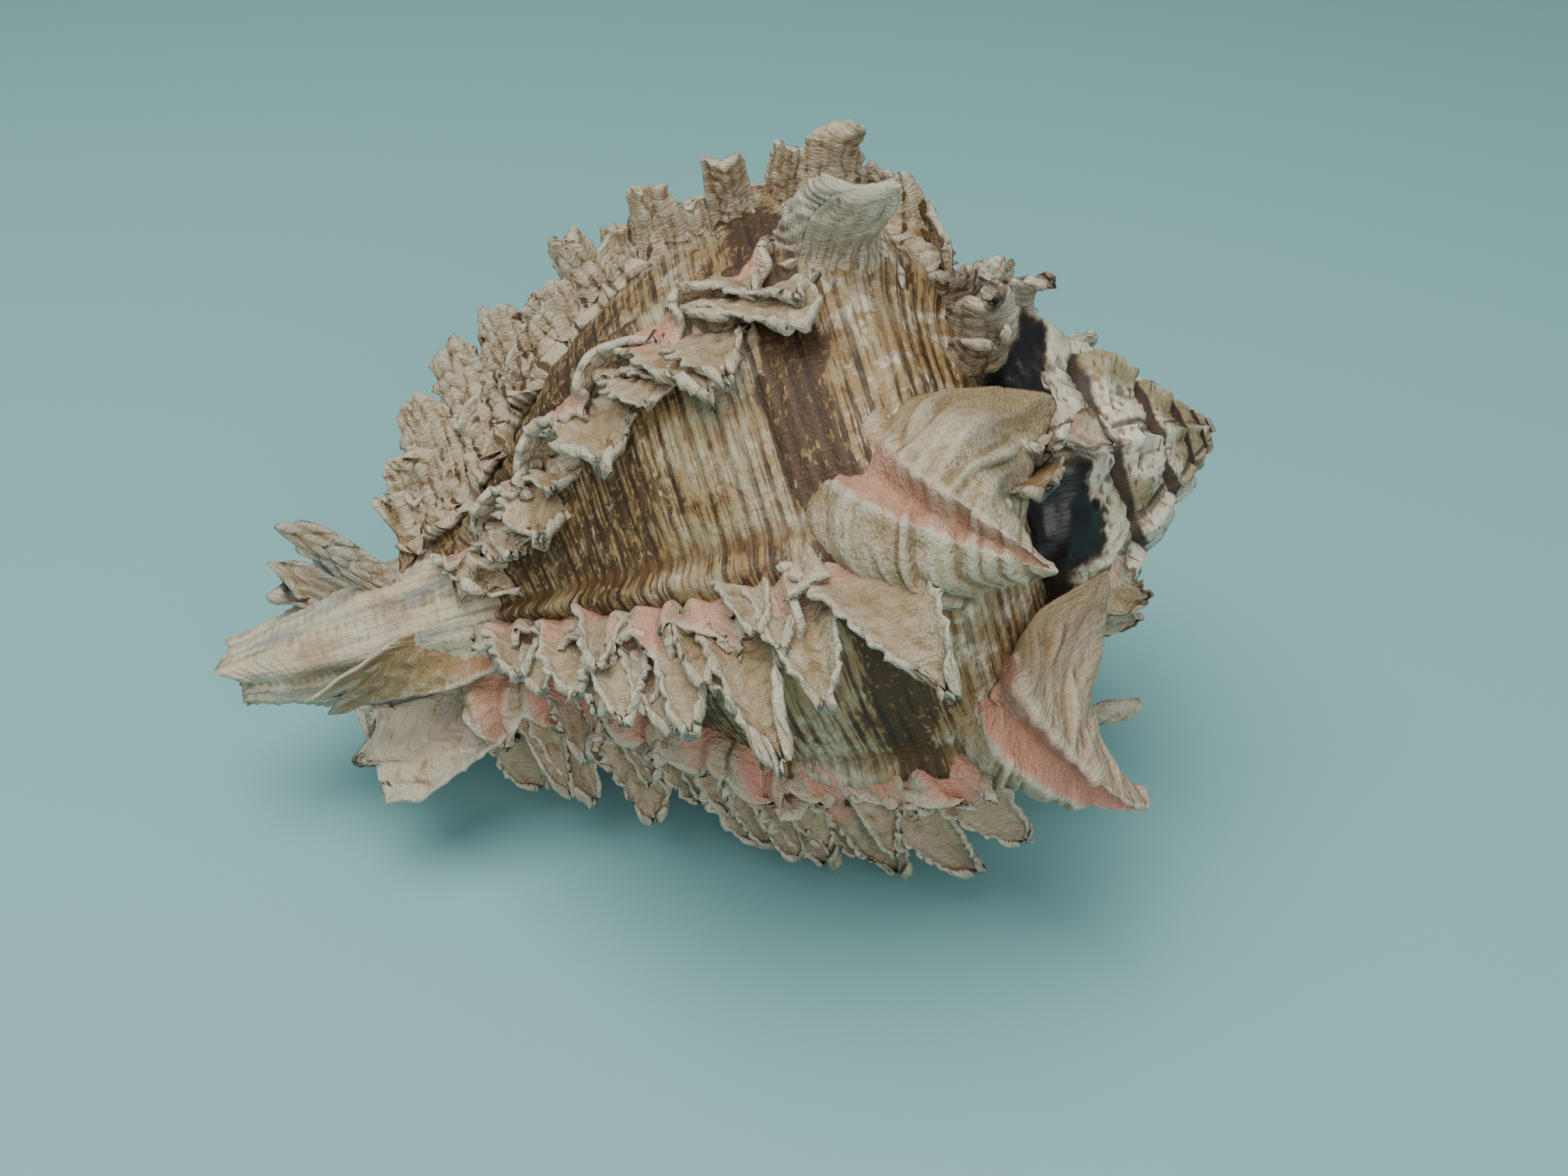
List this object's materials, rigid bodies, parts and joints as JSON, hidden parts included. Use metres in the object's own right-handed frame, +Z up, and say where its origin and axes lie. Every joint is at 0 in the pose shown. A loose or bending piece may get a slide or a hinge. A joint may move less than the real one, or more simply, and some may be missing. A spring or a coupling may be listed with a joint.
{
  "type": "murex shell",
  "caption": "Spiny sea snail shell lying on its aperture side: low spire, rounded body whorl with rows of frilled, reflexed spines, and a tapered siphonal canal.",
  "frame": {"origin": "middle of the shell's footprint, on the surface it lies on", "axes": "+X towards the spire, level, so the coiling axis lies in the XZ plane and rises 14 degrees towards the apex; -Y is the front; +Z is up"},
  "size_m": [0.1148, 0.0908, 0.0826],
  "materials": {
    "shell": "chalky cream shell with fine brown spiral threads, brown bands, pink varix edges and glossy dark brown patches beside the suture"
  },
  "bodies": {
    "root": {"murex_shell": "shell"}
  },
  "joints": []
}
